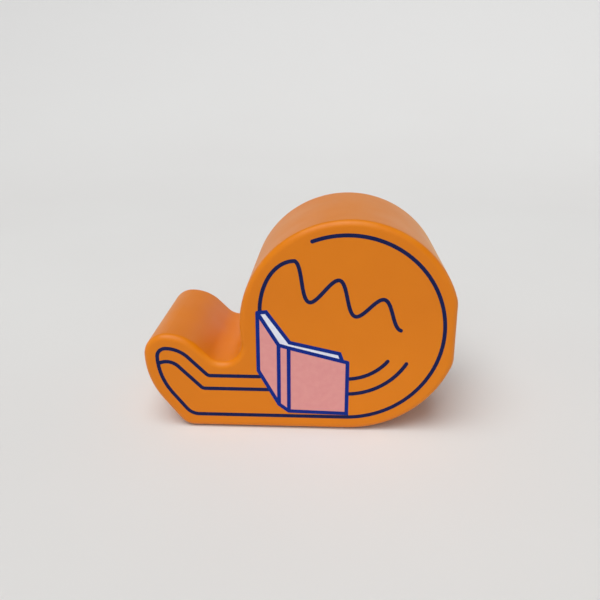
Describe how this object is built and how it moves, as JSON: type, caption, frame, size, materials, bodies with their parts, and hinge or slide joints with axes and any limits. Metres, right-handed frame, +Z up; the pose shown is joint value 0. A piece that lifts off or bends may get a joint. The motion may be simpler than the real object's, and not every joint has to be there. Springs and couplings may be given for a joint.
{
  "type": "tape dispenser",
  "caption": "Closed snail-shaped desk tape dispenser: round drum with a low nose, hidden cutter and tape slot, hinged loading door, hub and ballast.",
  "frame": {"origin": "middle of the whole object's footprint, on the desk", "axes": "+X from the nose towards the drum, +Y from the plain front face towards the loading side, +Z up"},
  "size_m": [0.1304, 0.063, 0.0924],
  "materials": {
    "shell_orange": "satin soft-touch",
    "plate_orange": "fine moulded texture",
    "steel": "zinc plated",
    "nickel": "nickel plated",
    "aluminium": "turned",
    "felt": "pressed felt",
    "hub_navy": "satin",
    "cardboard": "pressed paper tube",
    "tape": "wound clear film",
    "holder_navy": "satin",
    "blade_steel": "bright",
    "iron": "as cast, oiled",
    "pad_rubber": "fine foam"
  },
  "bodies": {
    "root": {"main_shell": "shell_orange", "rear_plate": "plate_orange", "rear_plate_screws": "steel", "door_hinge_pin": "steel", "catch_strike": "steel", "spindle": "aluminium", "spindle_screws": "steel", "drag_washer": "felt", "retaining_washer": "steel", "retaining_screw": "steel", "tape_leader": "tape", "cutter_holder": "holder_navy", "cutter_blade": "blade_steel", "cutter_screws": "steel", "ballast_block": "iron", "ballast_screws": "steel", "base_pad": "pad_rubber"},
    "reel": {"hub": "hub_navy", "tape_core": "cardboard", "tape_roll": "tape"},
    "door": {"loading_door": "plate_orange", "catch_magnet": "nickel"}
  },
  "joints": [
    {"name": "reel_spin", "type": "hinge", "parent": "root", "child": "reel", "pos_m": [0.0213, 0, 0.0469], "axis": [0, -1, 0], "continuous": true},
    {"name": "door_swing", "type": "hinge", "parent": "root", "child": "door", "pos_m": [0.0573, 0.0292, 0.0469], "axis": [0, 0, -1], "range_deg": [0, 95]}
  ]
}
